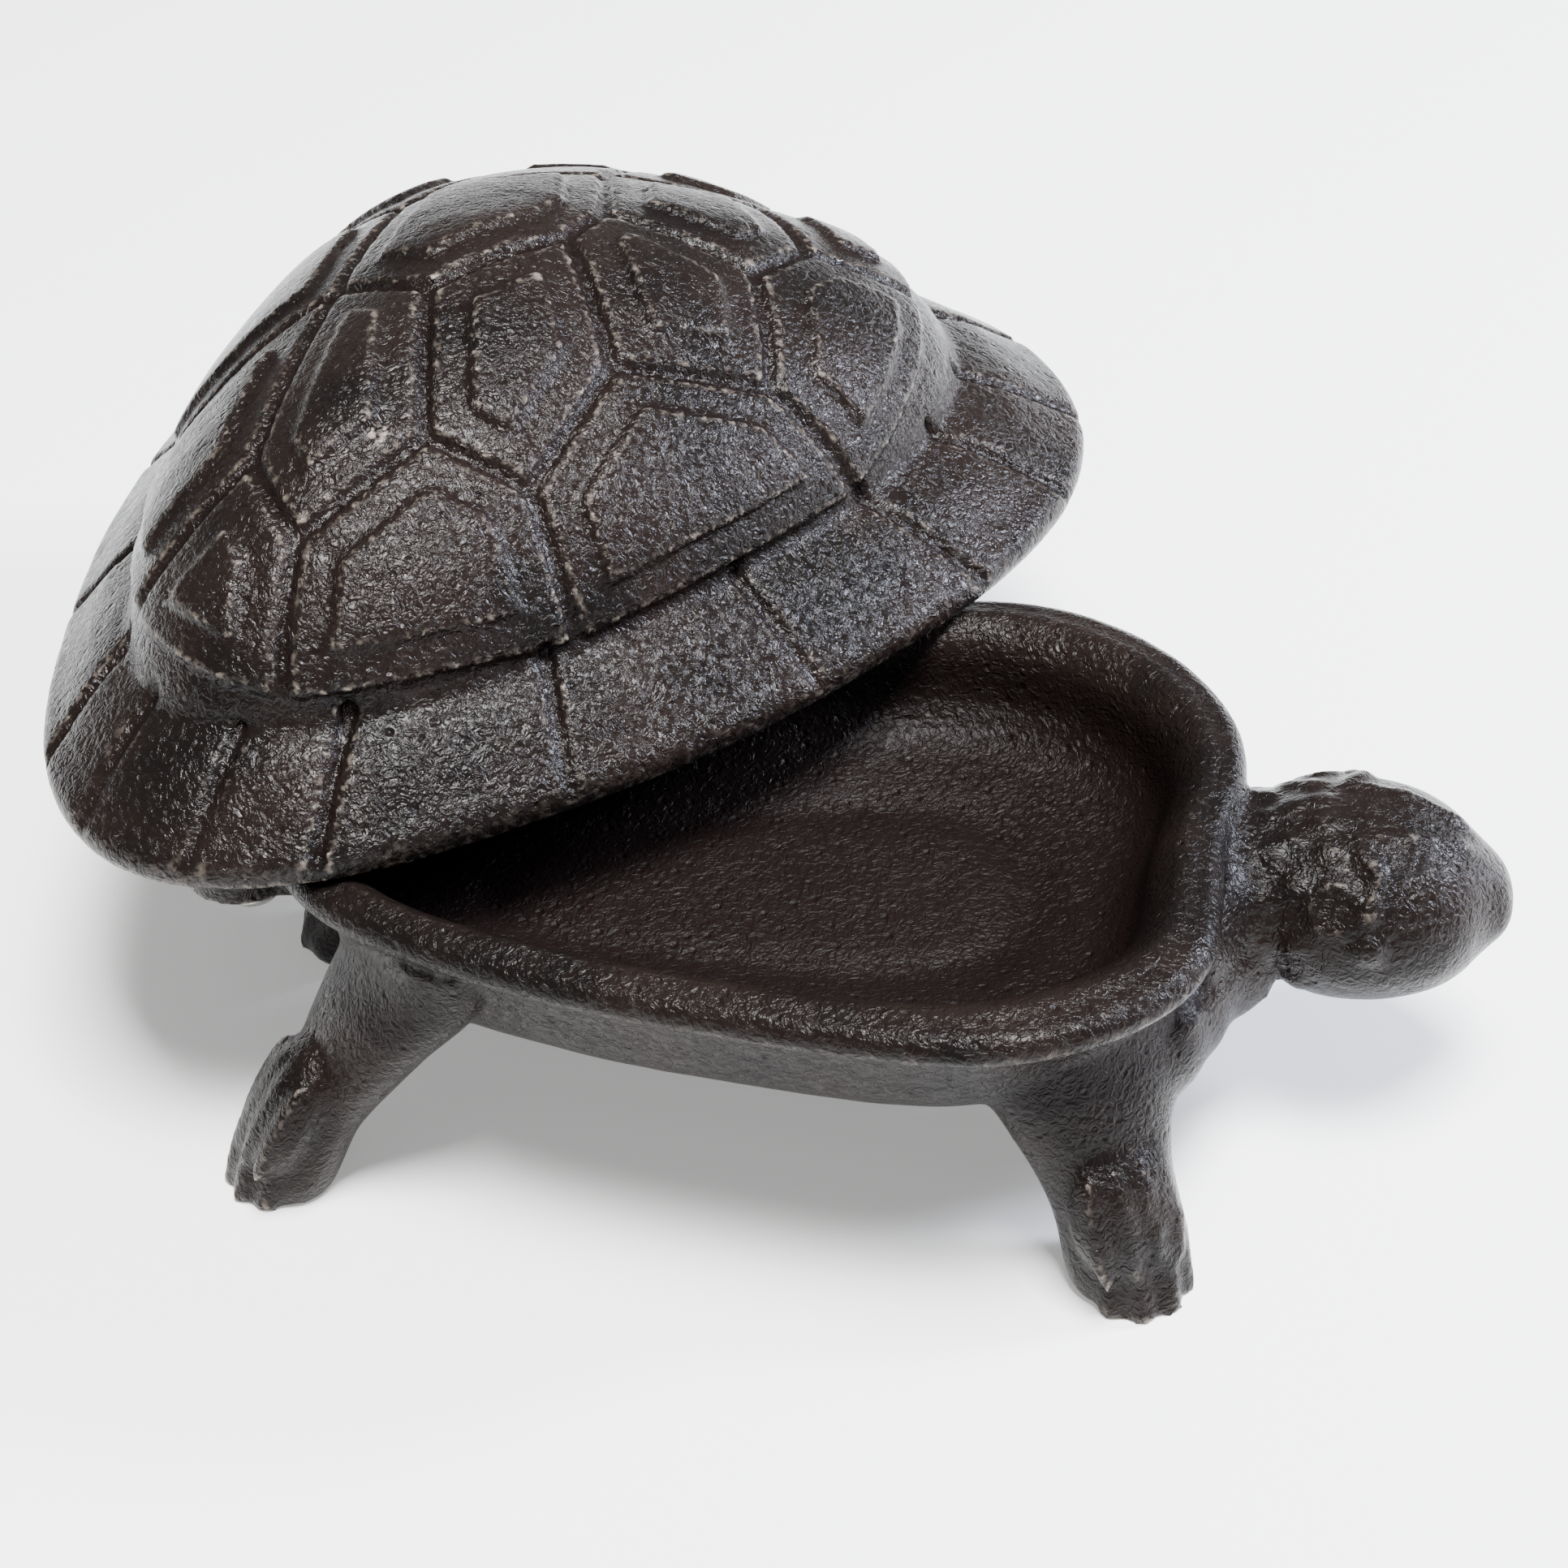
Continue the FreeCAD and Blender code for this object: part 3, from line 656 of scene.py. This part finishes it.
def foot_paddles():
    """The broad sloping top of each foot, with four long toes from its knee to its tip."""
    paddles = []
    for (sole_x, sole_y), (hip_x, hip_y), heading in FEET:
        for side in SIDES:
            turn = math.radians(heading)
            forward = Vector((math.cos(turn), side * math.sin(turn), 0.0))
            sole = Vector((sole_x, side * sole_y, 0.0))
            hip = Vector((hip_x, side * hip_y, 0.0))
            knee = sole.lerp(hip, KNEE_SHARE) + forward * KNEE_AHEAD + UP * KNEE_HEIGHT
            tip = sole + forward * TIP_AHEAD + UP * TIP_HEIGHT
            along = (tip - knee).normalized()
            across = along.cross(UP).normalized()
            normal = across.cross(along)
            half = PADDLE_REACH * (tip - knee).length
            middle = (knee + tip) / 2.0
            places = [(middle, (half, PADDLE_WIDTH, PADDLE_DEPTH))]
            for step in TOE_STEPS:
                aside = TOE_SPACING * step / PADDLE_WIDTH
                rise = PADDLE_DEPTH * math.sqrt(1.0 - aside ** 2) - TOE_SUNK
                toe = middle + across * TOE_SPACING * step + normal * rise + along
                places.append((toe, (TOE_REACH * half, TOE_WIDTH, TOE_DEPTH)))
            for place, sizes in places:
                spot = place * MM + Vector((0.0, PIVOT.y, 0.0))
                paddles.append(lump(spot, normal, [size * MM for size in sizes], along))
    return paddles


# One operator for each piece, the pivot's pair, and the studio
class OBJECT_OT_turtle_base(bpy.types.Operator):
    """Finishes the tray with its legs, neck and scaled head as one soft sand casting"""

    bl_idname = "object.turtle_base"
    bl_label = "Base casting"

    def execute(self, context):
        casting = merged_copy("base_casting", "tray_with_legs_and_head")
        carved = head_scales(casting) + eyelids(casting) + neck_fillets() + foot_paddles()
        join(casting, carved)
        soften_as_cast(casting, base_seat)
        for chosen, rounds in FILED:
            smooth_where(casting, chosen, rounds)
        bpy.ops.object.select_all(action="DESELECT")
        bpy.ops.mesh.primitive_cylinder_add(
            vertices=48, radius=context.scene.turtle_casting.bore_room, depth=80.0 * MM,
            location=(PIVOT.x, PIVOT.y, 30.0 * MM))
        drill = context.object
        apply_modifier(casting, "BOOLEAN", operation="DIFFERENCE", object=drill, solver="EXACT")
        bpy.data.objects.remove(drill)
        # The grooves and the tray's inside get painted shade, and the ridges get painted glints
        iron = coated_cast_iron("coated_cast_iron_base", gloss=0.10, wear_and_glint_from=0.522,
                                shaded_hollow_box=(TRAY_FLOOR, TRAY_RIM, TRAY_END))
        casting.data.materials.clear()
        casting.data.materials.append(iron)
        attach(casting, "base")
        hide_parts("base_casting")
        return {"FINISHED"}


class OBJECT_OT_turtle_shell(bpy.types.Operator):
    """Finishes the scuted shell lid as one soft sand casting"""

    bl_idname = "object.turtle_shell"
    bl_label = "Shell lid"

    def execute(self, context):
        casting = merged_copy("shell_lid", "scuted_shell")
        soften_as_cast(casting, shell_seat)
        apply_modifier(casting, "DECIMATE", ratio=SHELL_MESH_KEPT)
        casting = drop_specks(casting)
        # The shell's grooves get painted shade, and its ridges get painted glints
        iron = coated_cast_iron("coated_cast_iron_shell", gloss=0.13, wear_and_glint_from=0.513)
        casting.data.materials.clear()
        casting.data.materials.append(iron)
        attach(casting, "shell")
        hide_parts("shell_lid")
        return {"FINISHED"}


class OBJECT_OT_turtle_pivot(bpy.types.Operator):
    """Gives the pivot screw and its washer their dulled zinc finish"""

    bl_idname = "object.turtle_pivot"
    bl_label = "Pivot screw and washer"

    def execute(self, context):
        zinc = dulled_zinc("dulled_zinc_plate")
        for name in ("pivot_screw", "pivot_washer"):
            fastener = frame["nodes"][name]
            fastener.data.materials.clear()
            fastener.data.materials.append(zinc)
        return {"FINISHED"}


class OBJECT_OT_turtle_studio(bpy.types.Operator):
    """Sets the pale paper, the soft lights and the camera"""

    bl_idname = "object.turtle_studio"
    bl_label = "Studio"

    def execute(self, context):
        studio = context.scene.turtle_studio
        bpy.ops.object.select_all(action="DESELECT")
        # The floor is this wide so that low views see its edge only far behind the turtle.
        bpy.ops.mesh.primitive_plane_add(size=12.0, location=(0.0, 0.0, -0.05 * MM))
        floor = context.object
        floor.name = "studio_floor"
        apply_place(floor)
        floor.data.materials.append(studio_paper("studio_paper"))

        world = context.scene.world or bpy.data.worlds.new("studio_world")
        context.scene.world = world
        world.use_nodes = True
        background = world.node_tree.nodes["Background"]
        background.inputs["Color"].default_value = linear("#FFFFFF")
        background.inputs["Strength"].default_value = studio.ambient

        for name, place, wide, power, colour in LAMPS:
            bpy.ops.object.light_add(type="AREA", location=place)
            lamp = context.object
            lamp.name = name
            lamp.data.size = wide
            lamp.data.energy = power
            lamp.data.color = linear(colour)[:3]
            lamp.rotation_euler = (Vector(place) - AIM).to_track_quat("Z", "Y").to_euler()

        back = Vector((
            math.sin(studio.azimuth) * math.cos(studio.elevation),
            -math.cos(studio.azimuth) * math.cos(studio.elevation),
            math.sin(studio.elevation),
        ))
        right = Vector((math.cos(studio.azimuth), math.sin(studio.azimuth), 0.0))
        up = back.cross(right)
        rolled_right = right * math.cos(studio.roll) + up * math.sin(studio.roll)
        rolled_up = up * math.cos(studio.roll) - right * math.sin(studio.roll)
        turn = Matrix((rolled_right, rolled_up, back)).transposed()
        bpy.ops.object.camera_add(
            location=AIM + back * studio.distance, rotation=turn.to_euler())
        camera = context.object
        camera.name = "studio_camera"
        camera.data.lens = studio.lens
        camera.data.sensor_width = 36.0
        camera.data.clip_start = 0.01
        camera.data.clip_end = 20.0
        context.scene.camera = camera
        return {"FINISHED"}


class VIEW3D_PT_turtle(bpy.types.Panel):
    """Lists the pieces of the turtle key hider"""

    bl_idname = "VIEW3D_PT_turtle"
    bl_label = "Turtle key hider"
    bl_space_type = "VIEW_3D"
    bl_region_type = "UI"
    bl_category = "Turtle"

    def draw(self, context):
        for operator in OPERATORS:
            self.layout.operator(operator.bl_idname)


SETTINGS = {
    "turtle_casting": TurtleCastingSettings,
    "turtle_head": TurtleHeadSettings,
    "turtle_finish": TurtleFinishSettings,
    "turtle_studio": TurtleStudioSettings,
}
OPERATORS = (
    OBJECT_OT_turtle_base,
    OBJECT_OT_turtle_shell,
    OBJECT_OT_turtle_pivot,
    OBJECT_OT_turtle_studio,
)


def register():
    for name, group in SETTINGS.items():
        bpy.utils.register_class(group)
        setattr(bpy.types.Scene, name, PointerProperty(type=group))
    for operator in OPERATORS:
        bpy.utils.register_class(operator)
    bpy.utils.register_class(VIEW3D_PT_turtle)


def unregister():
    bpy.utils.unregister_class(VIEW3D_PT_turtle)
    for operator in reversed(OPERATORS):
        bpy.utils.unregister_class(operator)
    for name, group in SETTINGS.items():
        delattr(bpy.types.Scene, name)
        bpy.utils.unregister_class(group)


def main():
    register()
    bpy.ops.object.turtle_base()
    bpy.ops.object.turtle_shell()
    bpy.ops.object.turtle_pivot()
    bpy.ops.object.turtle_studio()


if __name__ == "__main__":
    main()
